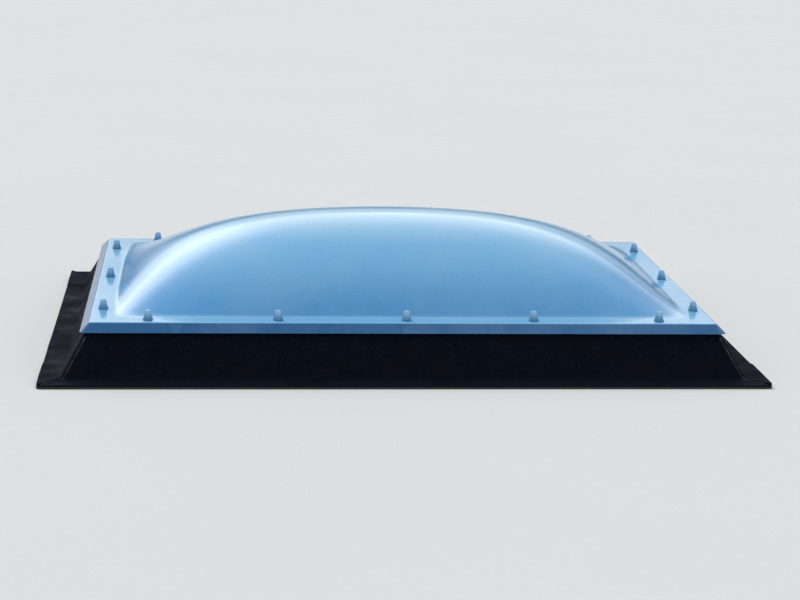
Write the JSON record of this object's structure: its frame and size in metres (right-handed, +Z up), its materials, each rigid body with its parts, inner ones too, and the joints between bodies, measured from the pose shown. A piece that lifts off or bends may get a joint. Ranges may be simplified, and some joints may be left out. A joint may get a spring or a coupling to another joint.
{
  "type": "roof skylight",
  "caption": "Fixed flat-roof skylight: a double-skin blown dome, screwed through its flange to a low felt-clad kerb, lets daylight into the room below.",
  "frame": {"origin": "centre of the underside of the kerb's foot flange, on the roof deck", "axes": "+Z up, +X along the long side, +Y away from the side that the picture shows in front"},
  "size_m": [1.986, 1.386, 0.355],
  "materials": {
    "outer_acrylic": "blown sheet, glossy, pale ice-blue opal",
    "inner_acrylic": "blown sheet, satin, opal white",
    "tape": "matte foam tape",
    "seal": "matte cellular rubber",
    "kerb_laminate": "moulded glass-fibre laminate, off-white",
    "roofing_felt": "torched bitumen felt with mineral grit, near black",
    "cap_plastic": "moulded light grey, satin",
    "screw_steel": "zinc-plated",
    "washer_steel": "zinc-plated with a bonded rubber face"
  },
  "bodies": {
    "root": {"outer_dome": "outer_acrylic", "inner_dome": "inner_acrylic", "spacer_tape": "tape", "kerb_seal": "seal", "kerb": "kerb_laminate", "felt_front": "roofing_felt", "felt_back": "roofing_felt", "felt_left": "roofing_felt", "felt_right": "roofing_felt", "cap_front_1": "cap_plastic", "screw_front_1": "screw_steel", "washer_front_1": "washer_steel", "cap_front_2": "cap_plastic", "screw_front_2": "screw_steel", "washer_front_2": "washer_steel", "cap_front_3": "cap_plastic", "screw_front_3": "screw_steel", "washer_front_3": "washer_steel", "cap_front_4": "cap_plastic", "screw_front_4": "screw_steel", "washer_front_4": "washer_steel", "cap_front_5": "cap_plastic", "screw_front_5": "screw_steel", "washer_front_5": "washer_steel", "cap_back_1": "cap_plastic", "screw_back_1": "screw_steel", "washer_back_1": "washer_steel", "cap_back_2": "cap_plastic", "screw_back_2": "screw_steel", "washer_back_2": "washer_steel", "cap_back_3": "cap_plastic", "screw_back_3": "screw_steel", "washer_back_3": "washer_steel", "cap_back_4": "cap_plastic", "screw_back_4": "screw_steel", "washer_back_4": "washer_steel", "cap_back_5": "cap_plastic", "screw_back_5": "screw_steel", "washer_back_5": "washer_steel", "cap_left_1": "cap_plastic", "screw_left_1": "screw_steel", "washer_left_1": "washer_steel", "cap_left_2": "cap_plastic", "screw_left_2": "screw_steel", "washer_left_2": "washer_steel", "cap_left_3": "cap_plastic", "screw_left_3": "screw_steel", "washer_left_3": "washer_steel", "cap_right_1": "cap_plastic", "screw_right_1": "screw_steel", "washer_right_1": "washer_steel", "cap_right_2": "cap_plastic", "screw_right_2": "screw_steel", "washer_right_2": "washer_steel", "cap_right_3": "cap_plastic", "screw_right_3": "screw_steel", "washer_right_3": "washer_steel"}
  },
  "joints": []
}
